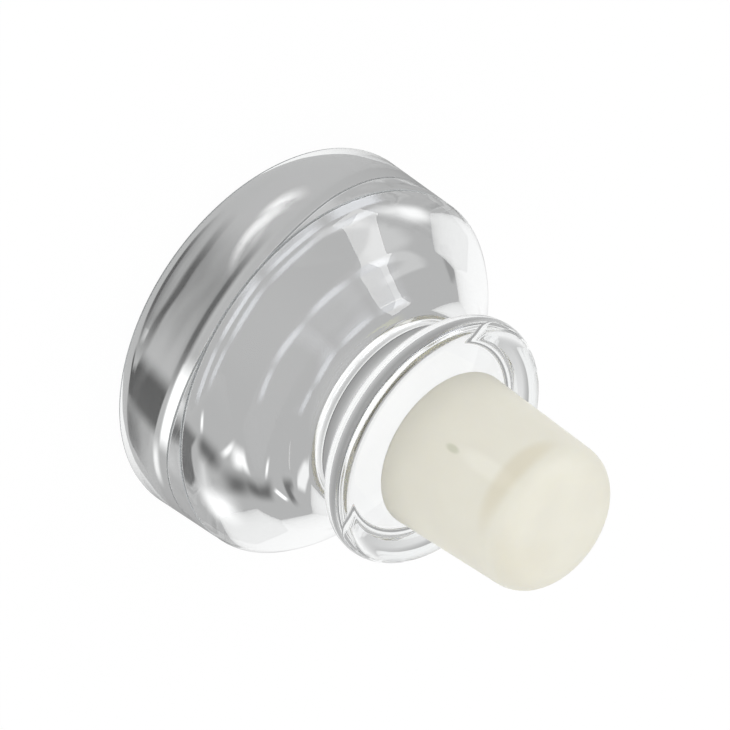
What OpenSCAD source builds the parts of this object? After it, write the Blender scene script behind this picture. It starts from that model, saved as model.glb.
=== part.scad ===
// Glass decanter stopper: a clear pressed-glass head with a glass peg, and a soft
// polymer plug glued over the peg. Millimetres. The stopper stands on its head: the
// flat top face of the glass lies on z = 0, and the plug points up along +Z.

/* [Glass head] */
// Diameter of the head at the rim of its flat top face
head_d = 47.5; // [42:0.5:54]
// Radius of the rounding between the top face and the band
rim_r = 0.4; // [0.2:0.1:1.5]
// Height of the band, from the top face to the middle of the groove
band_h = 10.7; // [8:0.1:14]
// Draft of the band: how much narrower each side is at the groove than at the rim
band_draft = 0.35; // [0.1:0.05:0.8]
// Radius of the round-bottomed groove between the band and the shoulder
groove_r = 0.2; // [0.15:0.05:0.5]
// Height of the steep edge that the shoulder starts with, just past the groove
edge_h = 0.5; // [0.3:0.1:1.5]
// Slope of that edge, measured from the plane of the top face
edge_slope = 54; // [48:1:66]
// Radius that rounds the steep edge over into the shoulder
crown_r = 7.5; // [4:0.5:10]
// Slope of the shoulder between its two curves
shoulder_slope = 40; // [36:1:43]
// Radius of the hollow that sweeps the shoulder up to the neck
cove_r = 9.5; // [5:0.5:14]
// Slope at the end of the hollow
foot_slope = 48; // [44:1:54]
// Height of the straight foot between the hollow and the lip's rounding
foot_h = 3; // [1.5:0.1:4]
// Radius that rounds the foot over to the lip of the neck
lip_round_r = 8; // [4:0.5:10]
// Slope where that rounding ends, at the lip
lip_slope = 31; // [28:1:40]

/* [Neck and collar] */
// Diameter where the shoulder ends and the neck groove starts
neck_lip_d = 25.8; // [24.6:0.2:27]
// Smallest diameter of the neck, at the bottom of its round groove
neck_d = 23.6; // [20:0.4:24]
// Width of the neck groove along the axis
neck_w = 4.4; // [3:0.2:7]
// Diameter of the collar
collar_d = 31.4; // [29:0.2:36]
// Thickness of the collar, whose edge is a full round
collar_t = 4; // [3:0.25:6]

/* [Peg] */
// Diameter of the glass peg that holds the plug
peg_d = 9; // [6:0.5:11]
// Length of the peg above the collar
peg_l = 9; // [6:0.5:12]
// Chamfer round the end of the peg
peg_chamfer = 0.8; // [0.3:0.1:1.5]

/* [Plug] */
// Diameter of the plug's side where it meets the collar
plug_d = 19.7; // [17:0.1:22]
// Diameter of the plug's side where its end rounding would begin to cut it
plug_tip_d = 18.1; // [16:0.1:20]
// Length of the plug from the collar to its flat end
plug_l = 20; // [16:0.5:26]
// Radius of the rounding round the plug's free end
plug_tip_r = 3.6; // [1.5:0.1:5]
// Radius of the small rounding where the plug meets the collar
plug_foot_r = 0.5; // [0.2:0.1:1]
// Adhesive gap between the peg and the wall of the plug's bore
glue_gap = 0.1; // [0.05:0.05:0.3]
// Extra depth of the bore beyond the end of the peg
bore_relief = 0.6; // [0.3:0.1:1.5]

/* [Hidden] */
$fn = 96;

head_r = head_d / 2;
band_low_r = head_r - band_draft;
neck_lip_r = neck_lip_d / 2;
neck_r = neck_d / 2;
collar_r = collar_d / 2;
collar_edge_r = collar_t / 2;

// The shoulder starts where the groove ends, as wide as the band's foot.
edge_z = band_h + groove_r;
// Start, centre and end of the crown's arc, which is tangent to the edge and the slope.
crown_start_r = band_low_r - edge_h / tan(edge_slope);
crown_start_z = edge_z + edge_h;
crown_centre_r = crown_start_r - crown_r * sin(edge_slope);
crown_centre_z = crown_start_z - crown_r * cos(edge_slope);
crown_end_r = crown_centre_r + crown_r * sin(shoulder_slope);
crown_end_z = crown_centre_z + crown_r * cos(shoulder_slope);
// The lip's rounding ends at the neck, the foot where that rounding starts, and the hollow
// where the foot starts. The slope fills what is left, so the neck's height follows.
lip_centre_r = neck_lip_r - lip_round_r * sin(lip_slope);
foot_end_r = lip_centre_r + lip_round_r * sin(foot_slope);
cove_end_r = foot_end_r + foot_h / tan(foot_slope);
cove_start_r = cove_end_r + cove_r * (sin(foot_slope) - sin(shoulder_slope));
cove_start_z = crown_end_z + (crown_end_r - cove_start_r) * tan(shoulder_slope);
cove_centre_r = cove_start_r + cove_r * sin(shoulder_slope);
cove_centre_z = cove_start_z + cove_r * cos(shoulder_slope);
cove_end_z = cove_centre_z - cove_r * cos(foot_slope);
foot_end_z = cove_end_z + foot_h;
lip_centre_z = foot_end_z - lip_round_r * cos(foot_slope);
neck_z = lip_centre_z + lip_round_r * cos(lip_slope);
collar_z = neck_z + neck_w;
head_h = collar_z + collar_t;

// Round groove of the neck: an arc through both lips that just reaches the neck's radius.
neck_sag = neck_lip_r - neck_r;
neck_groove_r = (pow(neck_w / 2, 2) + pow(neck_sag, 2)) / (2 * neck_sag);

plug_r = plug_d / 2;
plug_tip_side_r = plug_tip_d / 2;
plug_taper = atan((plug_r - plug_tip_side_r) / plug_l);
// Centre of the end rounding, placed so that its arc touches the end and the tapered side.
tip_centre_z = plug_l - plug_tip_r;
tip_centre_r = plug_r - tip_centre_z * tan(plug_taper) - plug_tip_r / cos(plug_taper);
bore_r = peg_d / 2 + glue_gap;
bore_l = peg_l + bore_relief;

// Half section of the rim and the drafted band, with x as the radius and y as the height.
module band_section() {
    translate([head_r - rim_r, rim_r])
        circle(r = rim_r);
    polygon([
        [0, 0],
        [head_r - rim_r, 0],
        [head_r - rim_r, rim_r],
        [head_r, rim_r],
        [band_low_r, band_h],
        [0, band_h]
    ]);
}

// Half section of the shoulder: a steep edge that a crown rounds over into the slope, a
// hollow that sweeps the slope up into a steeper foot, and a rounding at the neck's lip.
// Straight lines join the ends of the arcs. The circles of the crown and the lip fill the
// outline out to their arcs, and the circle of the hollow cuts it back to its own.
module shoulder_section() {
    difference() {
        polygon([
            [0, band_h],
            [band_low_r, band_h],
            [band_low_r, edge_z],
            [crown_start_r, crown_start_z],
            [crown_end_r, crown_end_z],
            [cove_start_r, cove_start_z],
            [cove_centre_r, cove_centre_z],
            [cove_end_r, cove_end_z],
            [foot_end_r, foot_end_z],
            [neck_lip_r, neck_z],
            [0, neck_z]
        ]);
        translate([cove_centre_r, cove_centre_z])
            circle(r = cove_r);
    }
    intersection() {
        translate([crown_centre_r, crown_centre_z])
            circle(r = crown_r);
        translate([0, band_h])
            square([band_low_r, crown_r]);
    }
    translate([lip_centre_r, lip_centre_z])
        circle(r = lip_round_r);
}

// Half section of the neck and the collar, whose outer edge is a full round.
module collar_section() {
    polygon([
        [0, neck_z],
        [neck_lip_r, neck_z],
        [neck_r + neck_groove_r, neck_z + neck_w / 2],
        [neck_lip_r, collar_z],
        [0, collar_z]
    ]);
    translate([0, collar_z])
        square([collar_r - collar_edge_r, collar_t]);
    translate([collar_r - collar_edge_r, collar_z + collar_edge_r])
        circle(r = collar_edge_r);
}

// Half section of the peg, chamfered at its end.
module peg_section() {
    polygon([
        [0, head_h],
        [peg_d / 2, head_h],
        [peg_d / 2, head_h + peg_l - peg_chamfer],
        [peg_d / 2 - peg_chamfer, head_h + peg_l],
        [0, head_h + peg_l]
    ]);
}

// Groove cutters: one between the band and the shoulder, one round the neck.
module groove_cuts() {
    translate([band_low_r, band_h])
        circle(r = groove_r);
    translate([neck_r + neck_groove_r, neck_z + neck_w / 2])
        circle(r = neck_groove_r);
}

module glass_head() {
    color([0.85, 0.9, 0.92, 0.45])
        rotate_extrude($fn = 180)
            difference() {
                union() {
                    band_section();
                    shoulder_section();
                    collar_section();
                    peg_section();
                }
                groove_cuts();
            }
}

// Half section of the plug's outside, from its seat on the collar to its flat end.
module plug_section() {
    polygon([
        [0, 0],
        [plug_r - plug_foot_r, 0],
        [plug_r - plug_foot_r, plug_foot_r],
        [plug_r - plug_foot_r * tan(plug_taper), plug_foot_r],
        [tip_centre_r + plug_tip_r * cos(plug_taper), tip_centre_z + plug_tip_r * sin(plug_taper)],
        [tip_centre_r, tip_centre_z],
        [tip_centre_r, plug_l],
        [0, plug_l]
    ]);
    translate([tip_centre_r, tip_centre_z])
        circle(r = plug_tip_r);
    translate([plug_r - plug_foot_r, plug_foot_r])
        intersection() {
            circle(r = plug_foot_r);
            translate([0, -plug_foot_r])
                square(plug_foot_r);
        }
}

module polymer_plug() {
    color([0.87, 0.86, 0.8])
        translate([0, 0, head_h])
            rotate_extrude($fn = 180)
                difference() {
                    plug_section();
                    square([bore_r, bore_l]);
                }
}

glass_head();
polymer_plug();
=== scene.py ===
# %% [markdown]
# # A glass decanter stopper
# The stopper has two pieces. A heavy head of clear pressed glass is made in one go with
# its peg, and a soft ivory plug of moulded polymer is glued over that peg. The stopper
# stands on its head: the flat top face lies on the table and the plug points up.
# The plain solids of the part are loaded first. They are the frame, so both new pieces
# take their place from them, and each stands for the plain solid of the same name.

# %% Load the frame
import math

import bpy
import bmesh
from mathutils import Matrix, Vector


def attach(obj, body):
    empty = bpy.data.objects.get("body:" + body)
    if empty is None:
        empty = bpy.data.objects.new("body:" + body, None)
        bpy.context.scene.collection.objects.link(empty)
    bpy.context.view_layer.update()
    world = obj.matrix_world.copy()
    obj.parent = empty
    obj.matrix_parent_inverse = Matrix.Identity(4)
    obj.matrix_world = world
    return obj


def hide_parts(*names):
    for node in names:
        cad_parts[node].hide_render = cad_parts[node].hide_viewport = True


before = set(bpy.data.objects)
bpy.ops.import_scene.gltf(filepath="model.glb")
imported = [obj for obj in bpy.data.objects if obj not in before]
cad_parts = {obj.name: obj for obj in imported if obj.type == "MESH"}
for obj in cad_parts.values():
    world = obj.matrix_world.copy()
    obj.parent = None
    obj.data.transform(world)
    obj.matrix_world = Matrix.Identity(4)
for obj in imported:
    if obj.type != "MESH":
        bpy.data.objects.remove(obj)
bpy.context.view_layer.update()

print("CAD nodes:", sorted(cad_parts))

# %% [markdown]
# ## Sizes
# Everything is turned round one axis, so a size is a radius or a height. Sizes are written
# in millimetres and slopes in degrees from the plane of the top face, as a glass maker
# would, and one number turns millimetres to Blender's metres. The shoulder is given by its
# radii, its slopes and the heights of its edge and its foot. The drawing works out how high
# it reaches, because each arc has to meet the next line in its own direction.

# %% Sizes of the glass head
MM = 0.001

head_r = 23.75                      # the rim of the flat top face
rim_r = 0.4                         # small rounding between the top face and the band
band_h = 10.7                       # top face to the middle of the groove
band_low_r = 23.4                   # the drafted band, at its foot
groove_r = 0.2                      # round-bottomed groove between band and shoulder
edge_h, edge_slope = 0.5, 54.0      # the steep edge past the groove
crown_r = 7.5                       # rounds the edge over into the shoulder
shoulder_slope = 40.0
cove_r = 9.5                        # the hollow that sweeps the shoulder up to its foot
foot_h, foot_slope = 3.0, 48.0      # the straight foot past the hollow
lip_round_r, lip_slope = 8.0, 31.0  # rounds the foot over to the neck's lip
neck_lip_r = 12.9
neck_r = 11.8
neck_w = 4.4
collar_r = 15.7
collar_edge_r = 2.0
peg_r = 4.5
peg_l = 9.0
peg_chamfer = 0.8
print("head", 2 * head_r, "mm across, collar", 2 * collar_r, "mm across")

# %% Sizes of the plug
plug_r = 9.85           # at the collar
plug_tip_side_r = 9.05  # where the taper would reach the free end
plug_l = 20.0
plug_tip_r = 3.6        # rounding at the free end
plug_foot_r = 0.5       # rounding at the collar
bore_relief = 0.6       # the bore goes on past the end of the peg
glue_line = 0.02        # the glued faces reach this far into each other
plug_taper = math.atan((plug_r - plug_tip_side_r) / plug_l)
print("the plug's taper is", round(math.degrees(plug_taper), 2), "degrees a side")

# %% [markdown]
# ## Drawing a half section
# A turned piece could be stacked up from cylinders and cones, but clear glass would show
# every wall left inside it. So it is drawn as half of its section in the XZ plane and then
# spun round Z, as a mould for pressed glass is cut on a lathe. The drawing starts from a
# plane that is merged to a single point. Straight stretches are made by extruding that
# point, and round ones by spinning it about the centre of the arc. Every curve is then a
# true arc, in steps as fine as glass needs: it shows each facet twice, once on its surface
# and once through it.

# %% Helpers that draw a half section point by point
def start_section(name, radius, height):
    bpy.ops.object.select_all(action="DESELECT")
    bpy.ops.mesh.primitive_plane_add(size=1.0, location=(0, 0, 0))
    piece = bpy.context.object
    piece.name = piece.data.name = name
    bpy.ops.object.mode_set(mode="EDIT")
    bpy.ops.mesh.select_mode(type="VERT")
    bpy.ops.mesh.select_all(action="SELECT")
    bpy.ops.mesh.merge(type="CENTER")
    bpy.ops.transform.translate(value=(radius * MM, 0, height * MM))
    return piece


def pen():
    """Radius and height of the point that is being drawn with, in millimetres."""
    mesh = bmesh.from_edit_mesh(bpy.context.object.data)
    point = next(v for v in mesh.verts if v.select)
    return point.co.x / MM, point.co.z / MM


def line_to(radius, height, steps=1):
    here = pen()
    step = ((radius - here[0]) / steps * MM, 0, (height - here[1]) / steps * MM)
    for _ in range(steps):
        bpy.ops.mesh.extrude_region_move(TRANSFORM_OT_translate={"value": step})


def arc_about(radius, height, turn, steps):
    """Spins the point round a centre by some degrees; positive turns from +X towards +Z."""
    bpy.ops.mesh.spin(steps=steps, angle=math.radians(turn),
                      center=(radius * MM, 0, height * MM), axis=(0, 1, 0))


# %% [markdown]
# ## The lathe
# Spinning the section all the way round leaves a double row of points where the last step
# meets the first, and a heap of them on the axis. They are merged before the normals are
# worked out, because only a closed skin has an inside. Edges that turn by less than the
# given angle are then shaded as one smooth surface.

# %% Helper that turns a section into a piece
SPIN_STEPS = 360
DOUBLES = 0.002         # points nearer than this, in millimetres, are the same


def turn_on_lathe(piece, smooth_angle):
    bpy.ops.mesh.select_all(action="SELECT")
    bpy.ops.mesh.spin(steps=SPIN_STEPS, angle=math.tau, center=(0, 0, 0), axis=(0, 0, 1))
    bpy.ops.mesh.select_all(action="SELECT")
    bpy.ops.mesh.remove_doubles(threshold=DOUBLES * MM)
    bpy.ops.mesh.normals_make_consistent(inside=False)
    bpy.ops.object.mode_set(mode="OBJECT")
    bpy.ops.object.shade_smooth_by_angle(angle=math.radians(smooth_angle))
    piece.data.materials.clear()
    print(piece.name, "has", len(piece.data.polygons), "faces")


# %% [markdown]
# ## The glass head: top face, band and groove
# The head is one solid of clear glass, drawn in one line from the middle of its top face to
# the end of its peg. It starts with the flat face that it stands on, a tiny rounding at the
# rim, and a nearly upright band that narrows a little so that it leaves the mould. A fine
# groove with a round bottom ends the band.

# %% Draw the top face, the band and the groove
glass = start_section("pressed_glass_head", 0, 0)
line_to(head_r - rim_r, 0, steps=8)
arc_about(head_r - rim_r, rim_r, 90, 10)
line_to(band_low_r, band_h - groove_r, steps=6)
arc_about(band_low_r, band_h, -180, 10)
print("the groove ends at", [round(v, 2) for v in pen()])

# %% [markdown]
# ## The glass head: shoulder
# The shoulder is what catches the light. A low steep edge is rounded over by a crown into a
# straight slope, a hollow sweeps that up to a steeper foot, and a rounding takes the foot
# over to the lip of the neck. Each arc starts in the direction in which the line before it
# ends, so no crease shows. The lower part is worked out back from the lip, and the straight
# slope fills what is left between the crown and the hollow.

# %% Draw the shoulder
edge_tilt, shoulder_tilt = math.radians(edge_slope), math.radians(shoulder_slope)
foot_tilt, lip_tilt = math.radians(foot_slope), math.radians(lip_slope)

line_to(band_low_r - edge_h / math.tan(edge_tilt), band_h + groove_r + edge_h, steps=3)
crown_start = pen()
arc_about(crown_start[0] - crown_r * math.sin(edge_tilt),
          crown_start[1] - crown_r * math.cos(edge_tilt), edge_slope - shoulder_slope, 16)
crown_end = pen()

lip_centre_r = neck_lip_r - lip_round_r * math.sin(lip_tilt)
foot_end_r = lip_centre_r + lip_round_r * math.sin(foot_tilt)
cove_end_r = foot_end_r + foot_h / math.tan(foot_tilt)
cove_start_r = cove_end_r + cove_r * (math.sin(foot_tilt) - math.sin(shoulder_tilt))
line_to(cove_start_r, crown_end[1] + (crown_end[0] - cove_start_r) * math.tan(shoulder_tilt),
        steps=10)
cove_start = pen()
arc_about(cove_start[0] + cove_r * math.sin(shoulder_tilt),
          cove_start[1] + cove_r * math.cos(shoulder_tilt), shoulder_slope - foot_slope, 12)
line_to(foot_end_r, pen()[1] + foot_h, steps=4)
arc_about(lip_centre_r, pen()[1] - lip_round_r * math.cos(foot_tilt),
          foot_slope - lip_slope, 8)
print("the shoulder ends at", [round(v, 2) for v in pen()])

# %% [markdown]
# ## The glass head: neck, collar and peg
# The neck is a round groove, so its radius and its sweep follow from its width and depth.
# The collar's edge is a full round, and its face carries the plug. The peg is chamfered at
# its end, so that the plug slides on.

# %% Draw the neck, the collar and the peg, and turn the head
neck_z = pen()[1]
collar_z = neck_z + neck_w
collar_face_z = collar_z + 2 * collar_edge_r
neck_sag = neck_lip_r - neck_r
neck_arc_r = ((neck_w / 2) ** 2 + neck_sag ** 2) / (2 * neck_sag)
neck_sweep = math.degrees(2 * math.asin(neck_w / 2 / neck_arc_r))

arc_about(neck_r + neck_arc_r, neck_z + neck_w / 2, -neck_sweep, 16)
line_to(collar_r - collar_edge_r, collar_z)
arc_about(collar_r - collar_edge_r, collar_z + collar_edge_r, 180, 24)
line_to(peg_r, collar_face_z, steps=3)
line_to(peg_r, collar_face_z + peg_l - peg_chamfer)
line_to(peg_r - peg_chamfer, collar_face_z + peg_l)
line_to(0, collar_face_z + peg_l)
turn_on_lathe(glass, smooth_angle=20)
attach(glass, "root")
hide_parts("glass_head")

# %% [markdown]
# ## The polymer plug
# The plug is a short tapered stub with a generous rounding at its free end and a blind
# bore for the peg. It is drawn in the same way, from the end of the bore round to the
# middle of its free end. Its seat and its bore reach a hair into the glass, because glue
# leaves no air between the two: light then goes from the glass straight into the polymer,
# and the glass shows the plug's ivory from inside.

# %% Draw and turn the plug
seat_z = collar_face_z - glue_line
tip_centre_z = collar_face_z + plug_l - plug_tip_r
tip_centre_r = (plug_r - (plug_l - plug_tip_r) * math.tan(plug_taper)
                - plug_tip_r / math.cos(plug_taper))
taper = math.degrees(plug_taper)
bore_r = peg_r - glue_line
bore_end = collar_face_z + peg_l + bore_relief

plug = start_section("moulded_polymer_plug", 0, bore_end)
line_to(bore_r, bore_end)
line_to(bore_r, seat_z)
line_to(plug_r - plug_foot_r, seat_z, steps=2)
arc_about(plug_r - plug_foot_r, seat_z + plug_foot_r, 90 + taper, 8)
line_to(tip_centre_r + plug_tip_r * math.cos(plug_taper),
        tip_centre_z + plug_tip_r * math.sin(plug_taper), steps=10)
arc_about(tip_centre_r, tip_centre_z, 90 - taper, 20)
line_to(0, collar_face_z + plug_l, steps=6)
turn_on_lathe(plug, smooth_angle=40)
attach(plug, "root")
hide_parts("polymer_plug")

# %% [markdown]
# ## Colours and nodes
# Colours are written as sRGB hex values, the way a paint or a screen gives them, and one
# function turns them to the linear values that a shader works with. A second function adds
# a node, sets it up and links it in one line. An input is named with _ for each space, and
# one that shares its name with another is given by its number, as in _0.

# %% Helpers for colours and nodes
def colour(hex_value):
    parts = [int(hex_value[i:i + 2], 16) / 255 for i in (1, 3, 5)]
    return (*[c / 12.92 if c <= 0.04045 else ((c + 0.055) / 1.055) ** 2.4 for c in parts], 1)


def add_node(tree, kind, settings=None, **inputs):
    """Adds a node; an input takes a value, or a link when it is given an output socket."""
    node = tree.nodes.new(kind)
    for name, value in (settings or {}).items():
        setattr(node, name, value)
    for name, value in inputs.items():
        key = int(name[1:]) if name[0] == "_" else name.replace("_", " ")
        if isinstance(value, bpy.types.NodeSocket):
            tree.links.new(value, node.inputs[key])
        else:
            node.inputs[key].default_value = value
    return node


def new_material(name):
    material = bpy.data.materials.new(name)
    material.use_nodes = True
    material.node_tree.nodes.clear()
    return material, material.node_tree


# %% [markdown]
# ## Clear pressed glass
# The head is soda-lime glass, pressed in a mould and then fire-polished, which melts the
# skin until it is clear and has no roughness. What the eye sees is how it bends the view of
# the bright table and the grey room. Pressing leaves that skin faintly wavy, by about a
# hundredth of a millimetre every seven, so a bump with those sizes makes the edges of what
# it mirrors waver a little. Modelling such waves would take far more faces.

# %% Glass material
WAVE_LENGTH, WAVE_DEPTH = 7.0, 0.010    # mm

glass_material, tree = new_material("soda_lime_glass_fire_polished")
place = add_node(tree, "ShaderNodeTexCoord")
wave = add_node(tree, "ShaderNodeTexNoise", Vector=place.outputs["Object"],
                Scale=1 / (WAVE_LENGTH * MM), Detail=1.0)
waviness = add_node(tree, "ShaderNodeBump", Strength=1.0, Distance=WAVE_DEPTH * MM,
                    Height=wave.outputs[0])
shader = add_node(tree, "ShaderNodeBsdfPrincipled", Base_Color=colour("#FDFEFE"), Roughness=0.0,
                  IOR=1.52, Transmission_Weight=1.0, Normal=waviness.outputs[0])
add_node(tree, "ShaderNodeOutputMaterial", Surface=shader.outputs[0])
glass.data.materials.append(glass_material)
print(glass_material.name)

# %% [markdown]
# ## Painted shade on the rim and in the groove
# The faces round the rim and in the groove get a glass of their own, a little rough and
# greyer than the rest. The grey is painted shade, which draws thin dark lines along the
# rim and in the groove. The faces are found by their place on the head.

# %% Glass with painted shade, and the faces on the rim and in the groove that it goes on
EDGE_GRAIN = 0.6        # mm
SLACK = 0.001           # mm, so that rounding errors don't move a face in or out

painted_edge_shade_material, tree = new_material("soda_lime_glass_painted_edge_shade")
place = add_node(tree, "ShaderNodeTexCoord")
grain = add_node(tree, "ShaderNodeTexNoise", Vector=place.outputs["Object"],
                 Scale=1 / (EDGE_GRAIN * MM), Detail=2.0)
rough = add_node(tree, "ShaderNodeMapRange", _0=grain.outputs[0],
                 _1=0.3, _2=0.7, _3=0.15, _4=0.35)
# the grey base colour is painted shade that darkens the rim and the groove
shader = add_node(tree, "ShaderNodeBsdfPrincipled", Base_Color=colour("#8E9294"),
                  Roughness=rough.outputs[0], IOR=1.52, Transmission_Weight=1.0)
add_node(tree, "ShaderNodeOutputMaterial", Surface=shader.outputs[0])
glass.data.materials.append(painted_edge_shade_material)

painted_edge_shade_faces = 0
for face in glass.data.polygons:
    radius = math.hypot(face.center.x, face.center.y) / MM
    height = face.center.z / MM
    on_rim = radius > head_r - rim_r and SLACK < height < rim_r
    in_groove = (abs(height - band_h) < groove_r
                 and band_low_r - groove_r - SLACK < radius < band_low_r + SLACK)
    if on_rim or in_groove:
        face.material_index = 1
        painted_edge_shade_faces += 1
print(painted_edge_shade_material.name, "on", painted_edge_shade_faces, "faces")

# %% [markdown]
# ## Moulded ivory polymer
# The plug is low-density polyethylene, moulded in ivory. It is soft to the light: some of
# it goes in and comes out again nearby, the colour clouds a little from place to place, and
# the skin has a very fine grain with a dull satin shine. Light and shade are painted into
# its colour as soft spots with no height: a paler bar on its side is a painted highlight,
# a small greenish mark beside it is painted shade, and two brownish areas near its free
# end, where the side rounds over, are painted shade too.

# %% Helper for a soft spot
def blot(tree, coords, centre, half_size):
    """A soft spot: 1 in the middle of an ellipsoid and 0 outside it. All sizes are in mm."""
    local = add_node(tree, "ShaderNodeMapping", {"vector_type": "TEXTURE"}, Vector=coords,
                     Location=[v * MM for v in centre], Scale=[v * MM for v in half_size])
    off = add_node(tree, "ShaderNodeVectorMath", {"operation": "LENGTH"}, _0=local.outputs[0])
    return add_node(tree, "ShaderNodeMapRange", {"interpolation_type": "SMOOTHSTEP"},
                    _0=off.outputs["Value"], _1=0.4, _2=1.0, _3=1.0, _4=0.0).outputs[0]


# %% The plug's colour, with its painted highlight and painted shade
CLOUD_SIZE = 6.0        # mm
PAINTED_LIGHT_AND_SHADE = {               # centre, half size, colour, and how strongly it covers the ivory
    # painted light: the paler bar is a painted highlight; the greenish and brownish spots are
    # painted shade
    "painted highlight bar": ((-0.9, -9.4, collar_face_z + 13.2), (1.5, 3.0, 5.6), "#F1F0E6", 0.35),
    "greenish painted shade": ((-0.5, -9.5, collar_face_z + 7.9), (0.6, 2.0, 1.3), "#B4B79E", 0.5),
    "brownish painted shade at the edge": ((-2.0, -8.0, collar_face_z + 16.0), (9.0, 5.0, 1.9), "#CDC3A6", 0.4),
    "brownish painted shade on the tip": ((4.5, -1.5, collar_face_z + 18.6), (5.0, 7.0, 2.2), "#CDC3A6", 0.25),
}

polymer_material, tree = new_material("low_density_polyethylene_moulded_ivory")
place = add_node(tree, "ShaderNodeTexCoord")
cloud = add_node(tree, "ShaderNodeTexNoise", Vector=place.outputs["Object"],
                 Scale=1 / (CLOUD_SIZE * MM), Detail=3.0, Roughness=0.5)
tint = add_node(tree, "ShaderNodeMix", {"data_type": "RGBA"}, Factor=cloud.outputs[0],
                _6=colour("#DCD9CC"), _7=colour("#E5E3D6"))
for centre, half_size, hex_value, share in PAINTED_LIGHT_AND_SHADE.values():
    spot = blot(tree, place.outputs["Object"], centre, half_size)
    spot = add_node(tree, "ShaderNodeMath", {"operation": "MULTIPLY"}, _0=spot, _1=share)
    tint = add_node(tree, "ShaderNodeMix", {"data_type": "RGBA"}, Factor=spot.outputs[0],
                    _6=tint.outputs[2], _7=colour(hex_value))
print("marks on the plug:", ", ".join(PAINTED_LIGHT_AND_SHADE))

# %% The plug's skin
SKIN_GRAIN, SKIN_DEPTH = 0.35, 0.02     # mm
DEEP = 2.0                              # mm that light goes in before it comes out again

grain = add_node(tree, "ShaderNodeTexNoise", Vector=place.outputs["Object"],
                 Scale=1 / (SKIN_GRAIN * MM), Detail=2.0)
bump = add_node(tree, "ShaderNodeBump", Strength=0.15, Distance=SKIN_DEPTH * MM,
                Height=grain.outputs[0])
shader = add_node(tree, "ShaderNodeBsdfPrincipled", Base_Color=tint.outputs[2], Roughness=0.5,
                  IOR=1.51, Normal=bump.outputs[0], Subsurface_Weight=0.25,
                  Subsurface_Radius=(1.0, 0.9, 0.6), Subsurface_Scale=DEEP * MM)
add_node(tree, "ShaderNodeOutputMaterial", Surface=shader.outputs[0])
plug.data.materials.append(polymer_material)
print(polymer_material.name)

# %% [markdown]
# ## The white table
# The stopper stands on a white table laid with paper, which lies a hair below it so that the
# two faces don't flicker into each other. What the camera sees of the table, directly,
# mirrored or through the glass, is lifted to plain white. The rest stays an ordinary matt
# sheet, so the stopper keeps its shadow and gets no more light from it than paper gives.
# Clear glass on plain white looks washed out, and two things give it body. The paper ends
# some way off, with a greyer table past it, and a ring of shade lies round the head. The
# camera doesn't see either directly: they only show in the glass.

# %% Table
TABLE_SIZE, TABLE_DROP = 4.0, 0.2       # metres across, mm under the stopper
SEEN_WHITE, THROUGH_WHITE = 0.97, 0.8   # how far the table is lifted to white

bpy.ops.object.select_all(action="DESELECT")
bpy.ops.mesh.primitive_plane_add(size=TABLE_SIZE, location=(0, 0, -TABLE_DROP * MM))
floor = bpy.context.object
floor.name = "white_table"
paper, tree = new_material("white_paper_matt")
path = add_node(tree, "ShaderNodeLightPath")
seen = add_node(tree, "ShaderNodeMath", {"operation": "MAXIMUM"},
                _0=path.outputs["Is Camera Ray"], _1=path.outputs["Is Glossy Ray"])
seen = add_node(tree, "ShaderNodeMath", {"operation": "MULTIPLY"},
                _0=seen.outputs[0], _1=SEEN_WHITE)
through = add_node(tree, "ShaderNodeMath", {"operation": "MULTIPLY"},
                   _0=path.outputs["Is Transmission Ray"], _1=THROUGH_WHITE)
lift = add_node(tree, "ShaderNodeMath", {"operation": "MAXIMUM"},
                _0=seen.outputs[0], _1=through.outputs[0])
print(floor.name, "is", TABLE_SIZE, "m across")

# %% The paper's edge and the ring of shade
PAPER_EDGE, PAST_PAPER = (250, 270), 0.55       # mm from the axis, and how much greyer
SHADE_RING, SHADE = (23.7, 55), 0.7             # mm from the axis, and how dark at the head

where = add_node(tree, "ShaderNodeTexCoord")
away = add_node(tree, "ShaderNodeVectorMath", {"operation": "LENGTH"}, _0=where.outputs["Object"])
beyond = add_node(tree, "ShaderNodeMapRange", _0=away.outputs["Value"],
                  _1=PAPER_EDGE[0] * MM, _2=PAPER_EDGE[1] * MM, _3=0.0, _4=PAST_PAPER)
ring = add_node(tree, "ShaderNodeMapRange", {"interpolation_type": "SMOOTHSTEP"},
                _0=away.outputs["Value"], _1=SHADE_RING[0] * MM, _2=SHADE_RING[1] * MM,
                _3=SHADE, _4=0.0)
outside = add_node(tree, "ShaderNodeMath", {"operation": "GREATER_THAN"},
                   _0=away.outputs["Value"], _1=SHADE_RING[0] * MM)
shade = add_node(tree, "ShaderNodeMath", {"operation": "MULTIPLY"},
                 _0=ring.outputs[0], _1=outside.outputs[0])
darker = add_node(tree, "ShaderNodeMath", {"operation": "ADD"},
                  _0=beyond.outputs[0], _1=shade.outputs[0])
unseen = add_node(tree, "ShaderNodeMath", {"operation": "SUBTRACT"},
                  _0=1.0, _1=path.outputs["Is Camera Ray"])
darker = add_node(tree, "ShaderNodeMath", {"operation": "MULTIPLY"},
                  _0=darker.outputs[0], _1=unseen.outputs[0])
level = add_node(tree, "ShaderNodeMath", {"operation": "SUBTRACT"},
                 _0=1.0, _1=darker.outputs[0])

matt = add_node(tree, "ShaderNodeBsdfDiffuse", Color=colour("#F8F8F8"))
glow = add_node(tree, "ShaderNodeEmission", Color=colour("#FFFFFF"), Strength=level.outputs[0])
mixed = add_node(tree, "ShaderNodeMixShader", _0=lift.outputs[0], _1=matt.outputs[0],
                 _2=glow.outputs[0])
add_node(tree, "ShaderNodeOutputMaterial", Surface=mixed.outputs[0])
floor.data.materials.append(paper)
print(paper.name)

# %% [markdown]
# ## The room's light
# The room has two jobs, so it has two levels. Clear glass shows the room in its body, and
# there it is a plain grey studio with a bright ceiling; the two run into each other without
# an edge, so no hard patch shows. Matt surfaces, such as the plug and the paper, only
# gather light from it, and for them it is one soft white dome, brighter overhead, at a
# level at which a colour shows about as it is written.

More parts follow.
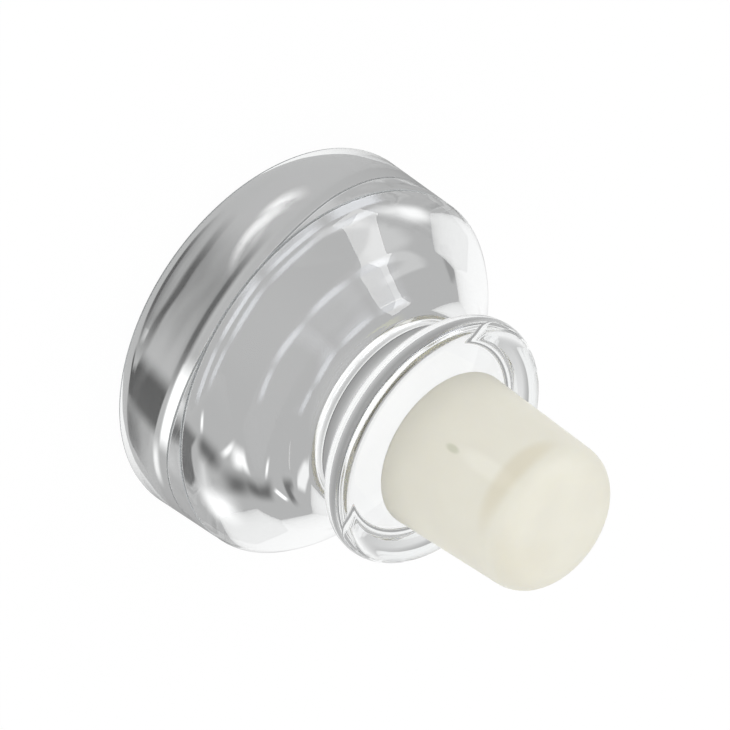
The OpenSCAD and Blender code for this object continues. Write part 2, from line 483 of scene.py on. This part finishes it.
# %% World
WALL, CEILING = 0.46, 1.25          # what the glass shows
CEILING_EDGE = 0.80, 0.98           # height on the dome, where 1 is straight up
DOME_SIDE, DOME_TOP = 0.82, 1.27    # what lights the matt surfaces

world = bpy.context.scene.world or bpy.data.worlds.new("studio")
bpy.context.scene.world = world
world.use_nodes = True
tree = world.node_tree
tree.nodes.clear()
direction = add_node(tree, "ShaderNodeTexCoord")
height = add_node(tree, "ShaderNodeSeparateXYZ", _0=direction.outputs["Generated"])
room = add_node(tree, "ShaderNodeMapRange", {"interpolation_type": "SMOOTHSTEP"},
                _0=height.outputs["Z"], _1=CEILING_EDGE[0], _2=CEILING_EDGE[1],
                _3=WALL, _4=CEILING)
dome = add_node(tree, "ShaderNodeMapRange", _0=height.outputs["Z"],
                _1=0.0, _2=1.0, _3=DOME_SIDE, _4=DOME_TOP)
path = add_node(tree, "ShaderNodeLightPath")
seen = add_node(tree, "ShaderNodeMath", {"operation": "MAXIMUM"},
                _0=path.outputs["Is Camera Ray"], _1=path.outputs["Is Glossy Ray"])
seen = add_node(tree, "ShaderNodeMath", {"operation": "MAXIMUM"},
                _0=seen.outputs[0], _1=path.outputs["Is Transmission Ray"])
either = add_node(tree, "ShaderNodeMix", Factor=seen.outputs[0],
                  _2=dome.outputs[0], _3=room.outputs[0])
sky = add_node(tree, "ShaderNodeBackground", Color=colour("#FFFFFF"),
               Strength=either.outputs[0])
add_node(tree, "ShaderNodeOutputWorld", Surface=sky.outputs[0])
print("walls", WALL, "and ceiling", CEILING, "in the glass")

# %% [markdown]
# ## What stands round the stopper
# Clear glass looks like whatever stands round it, so a studio hangs a window lamp, sheets
# of white cloth, strip lights and grey or black paper round it, and each shows in the glass
# as a bright or a dark shape. Each hangs far off and is placed by its compass direction and
# its height above the table, and sized by the angle that it fills, all in degrees and as
# seen from the stopper. Roll turns it in its own plane.

# %% Helpers for places and angles
PANEL_DISTANCE = 8.0    # metres
stopper_centre = Vector((0, 0, 16 * MM))


def panel_place(azimuth, elevation, roll):
    a, e = math.radians(azimuth), math.radians(elevation)
    out = Vector((math.cos(a) * math.cos(e), math.sin(a) * math.cos(e), math.sin(e)))
    turn = (-out).to_track_quat("-Z", "Y").to_matrix()
    turn = turn @ Matrix.Rotation(math.radians(roll), 3, "Z")
    return Matrix.Translation(stopper_centre + out * PANEL_DISTANCE) @ turn.to_4x4()


def panel_size(degrees):
    return 2 * PANEL_DISTANCE * math.tan(math.radians(degrees / 2))


# %% [markdown]
# ## The window lamp
# The window on the shoulder is the mirror image of a softbox, a big flat lamp behind cloth.
# Its brightness is that of its face, and its power is worked out from that and its area, so
# it can be made wider and still look the same. It is only there to be mirrored. It doesn't
# show through the glass, where it would add a second window, and it doesn't light the plug.

# %% Hang the window lamp
def softbox(name, azimuth, elevation, wide, tall, brightness, roll=0):
    lamp = bpy.data.lights.new(name, "AREA")
    lamp.shape = "RECTANGLE"
    lamp.size, lamp.size_y = panel_size(wide), panel_size(tall)
    lamp.energy = brightness * math.pi * lamp.size * lamp.size_y
    box = bpy.data.objects.new(name, lamp)
    bpy.context.scene.collection.objects.link(box)
    box.matrix_world = panel_place(azimuth, elevation, roll)
    box.visible_camera = False
    return box


window = softbox("window_softbox", 181, 34.5, 18, 20, 4.2, roll=53)
window.visible_transmission = window.visible_diffuse = False
print(window.name, "is", round(window.data.size, 2), "by", round(window.data.size_y, 2), "m")

# %% [markdown]
# ## Sheets and strip lights
# A sheet is a plane that shines with a level of its own, where 1 is white paper. A lamp
# behind cloth fades towards the edges of the cloth, so a sheet has a feather: the share of
# its half width over which it fades out, and with it the hard corners that would show in
# the glass. A sheet shows either through the glass or mirrored in it, so that each shape in
# the glass has one cause. No sheet lights the plug or the table, or throws a shadow.

# %% Helpers for the sheets
sheets_hung = []


def new_panel(name, wide, tall):
    bpy.ops.object.select_all(action="DESELECT")
    bpy.ops.mesh.primitive_plane_add(size=1.0)
    panel = bpy.context.object
    panel.name = name
    panel.scale = (wide, tall, 1)
    bpy.ops.object.transform_apply(location=False, rotation=False, scale=True)
    return panel


def hang_cloth(panel, name, brightness, feather, hue):
    cloth, tree = new_material("lit_cloth_" + name)
    cloth.cycles.emission_sampling = "NONE"
    across = add_node(tree, "ShaderNodeTexCoord")
    sides = add_node(tree, "ShaderNodeSeparateXYZ", _0=across.outputs["UV"])
    fades = []
    for side in ("X", "Y"):
        middle = add_node(tree, "ShaderNodeMath", {"operation": "SUBTRACT"},
                          _0=sides.outputs[side], _1=0.5)
        off = add_node(tree, "ShaderNodeMath", {"operation": "ABSOLUTE"}, _0=middle.outputs[0])
        fades.append(add_node(tree, "ShaderNodeMapRange", {"interpolation_type": "SMOOTHSTEP"},
                              _0=off.outputs[0], _1=0.5, _2=0.5 * (1 - feather),
                              _3=0.0, _4=1.0))
    fade = add_node(tree, "ShaderNodeMath", {"operation": "MULTIPLY"},
                    _0=fades[0].outputs[0], _1=fades[1].outputs[0])
    clear = add_node(tree, "ShaderNodeBsdfTransparent")
    glow = add_node(tree, "ShaderNodeEmission", Color=colour(hue), Strength=brightness)
    mixed = add_node(tree, "ShaderNodeMixShader", _0=fade.outputs[0], _1=clear.outputs[0],
                     _2=glow.outputs[0])
    add_node(tree, "ShaderNodeOutputMaterial", Surface=mixed.outputs[0])
    panel.data.materials.append(cloth)
    panel.visible_camera = panel.visible_diffuse = panel.visible_shadow = False
    sheets_hung.append(name)


def sheet(name, azimuth, elevation, wide, tall, brightness, feather, roll=0, hue="#FFFFFF",
          mirrored=False):
    panel = new_panel(name, panel_size(wide), panel_size(tall))
    panel.matrix_world = panel_place(azimuth, elevation, roll)
    hang_cloth(panel, name, brightness, feather, hue)
    panel.visible_glossy, panel.visible_transmission = mirrored, not mirrored


# %% [markdown]
# ## White cloth and dark paper behind the stopper
# These hang on the far side and are seen through the glass, which bends and squeezes them.
# The white cloth gives the bright patches at both ends of the shoulder and low in the band,
# and the paper gives the dark streak in the band and the dark patches beside the bright ones.

# %% Hang the white cloth
sheet("white_cloth_band", 116, 16.4, 27, 8, 1.25, 0.55, -5)
sheet("white_cloth_low", 134, 9, 22, 9, 1.05, 0.85)
sheet("white_cloth_left", 142, 32.5, 18, 12, 1.2, 0.8)
sheet("white_cloth_right", 40, 31.5, 16, 8, 1.1, 0.9)
sheet("pale_cloth_right", 57, 36.5, 18, 4, 0.6, 0.6)
sheet("white_strip_near", 120.5, 37.2, 7, 1.6, 1.15, 0.9)
sheet("white_strip_foot", 132, 41.8, 7, 1.4, 1.3, 0.6, 35)
sheet("white_strip_neck", 122, 47, 14, 1.6, 0.95, 0.5, 8)
print(len(sheets_hung), "sheets hung")

# %% Hang the grey and black paper
sheet("grey_paper_streak", 94, 12.4, 42, 8.4, 0.08, 0.8)
sheet("black_paper_band", 117, 7.2, 18, 4.4, 0.05, 0.6, -15)
sheet("black_paper_low", 131, 1.6, 34, 4, 0.10, 0.95, -16)
sheet("black_paper_left", 129, 37.3, 10, 6, 0.12, 0.95)
sheet("black_paper_foot", 132, 44.8, 12, 2.4, 0.14, 0.7, 10)
sheet("grey_paper_groove", 128.5, 28.5, 17, 6.5, 0.14, 0.4, -45)
sheet("grey_paper_right", 36, 41, 6, 4, 0.3, 0.6)
print(len(sheets_hung), "sheets hung")

# %% [markdown]
# ## Strip lights over the camera
# The crown of the shoulder mirrors a wide arc of the room as a narrow one, so a row of cool
# strip lights draws the pale arc along it. One row could only be wide enough if the hollow
# and the foot mirrored it too, so there are two: the upper one shows at the inside of the
# crown, and the lower one, which only the steepest part of the crown mirrors, beside it.
# A card with a green tint shows faintly at the lip of the neck.

# %% Hang the strip lights
COOL_WHITE = "#F2F6FF"

sheet("strip_light_low", 182, 34.5, 34, 14, 5.2, 0.8, 29, COOL_WHITE, mirrored=True)
sheet("strip_light_middle", 222, 47.5, 40, 13, 6.4, 0.8, 19, COOL_WHITE, mirrored=True)
sheet("strip_light_high", 271, 53, 36, 13, 6.4, 0.8, 9, COOL_WHITE, mirrored=True)
sheet("strip_light_end", 311, 49, 26, 10, 5.0, 0.8, -20, COOL_WHITE, mirrored=True)
sheet("low_strip_light_left", 184, 20, 38, 9, 6.6, 0.6, 24, COOL_WHITE, mirrored=True)
sheet("low_strip_light_middle", 224, 33, 42, 9, 7.4, 0.6, 14, COOL_WHITE, mirrored=True)
sheet("low_strip_light_right", 271, 38, 42, 9, 7.4, 0.6, 4, COOL_WHITE, mirrored=True)
sheet("low_strip_light_end", 313, 35, 34, 9, 5.6, 0.6, -12, COOL_WHITE, mirrored=True)
sheet("green_tinted_card", 179, 57, 34, 11, 2.4, 0.8, 44, "#EEF28C", mirrored=True)
print(len(sheets_hung), "sheets hung")

# %% [markdown]
# ## Focused light on the table
# A thick piece of glass works as a lens and throws a bright curved spot on the table beside
# it. Such light takes very long to render cleanly, so the spot is laid on the table as two
# soft, slim sheets that overlap. It only shows mirrored in the band, as a bright streak.

# %% Lay the focused light on the table
def glint(name, x, y, long, wide, turn, brightness):
    """A spot of light on the table, in mm, that only shows mirrored in the glass."""
    spot = new_panel(name, long * MM, wide * MM)
    spot.matrix_world = (Matrix.Translation(Vector((x, y, -TABLE_DROP / 2)) * MM)
                         @ Matrix.Rotation(math.radians(turn), 4, "Z"))
    hang_cloth(spot, name, brightness, 1.0, "#FFFFFF")
    spot.visible_transmission = False


glint("focused_light_head", -18.2, -25.7, 20, 3.6, -46, 12)
glint("focused_light_tail", -13.4, -29.6, 24, 2.6, -33, 9)
print(len(sheets_hung), "sheets in all")

# %% [markdown]
# ## Camera
# The camera looks down on the stopper with a long lens. Its place follows from four facts:
# the angle between the line of sight and the stopper's axis, how far the picture is
# turned, the distance, and where the middle of the collar's face lies in the picture.

# %% Camera
PICTURE = 730           # pixels across and down
SENSOR = 36.0           # mm
view_angle, view_turn = math.radians(53.25), math.radians(34.45)
view_depth = 784.0      # mm from the camera to the collar's face, along the line of sight
pixels_per_mm = 8.8     # at that depth
face_px, face_py = 444.2, 447.6

focal_px = pixels_per_mm * view_depth
aim = Vector(((face_px - PICTURE / 2) / focal_px * view_depth,
              (face_py - PICTURE / 2) / focal_px * view_depth, view_depth))
along = Vector((math.sin(view_angle) * math.cos(view_turn),
                math.sin(view_angle) * math.sin(view_turn), -math.cos(view_angle)))
across = Vector((-math.sin(view_turn), math.cos(view_turn), 0))
turn = Matrix((across, along.cross(across), along))
eye = (turn @ -aim + Vector((0, 0, collar_face_z))) * MM
right, up, back = turn.col[0], -turn.col[1], -turn.col[2]

camera = bpy.data.objects.new("camera", bpy.data.cameras.new("camera"))
bpy.context.scene.collection.objects.link(camera)
camera.data.sensor_width = SENSOR
camera.data.lens = focal_px * camera.data.sensor_width / PICTURE
camera.data.clip_start, camera.data.clip_end = 0.05, 20
camera.matrix_world = Matrix.Translation(eye) @ Matrix((right, up, back)).transposed().to_4x4()
bpy.context.scene.camera = camera
print("lens", round(camera.data.lens, 1), "mm, eye at", [round(v, 3) for v in eye])

# %% [markdown]
# ## Colour management and light paths
# The view transform is the plain one, so a colour shows as it is written. Clear glass
# needs many bounces: light may be mirrored inside the head a dozen times before it leaves.

# %% Render settings that belong to the scene
scene = bpy.context.scene
scene.view_settings.view_transform = "Standard"
scene.cycles.max_bounces = 24
scene.cycles.transmission_bounces = 24
scene.cycles.glossy_bounces = 12
print("bounces:", scene.cycles.max_bounces)
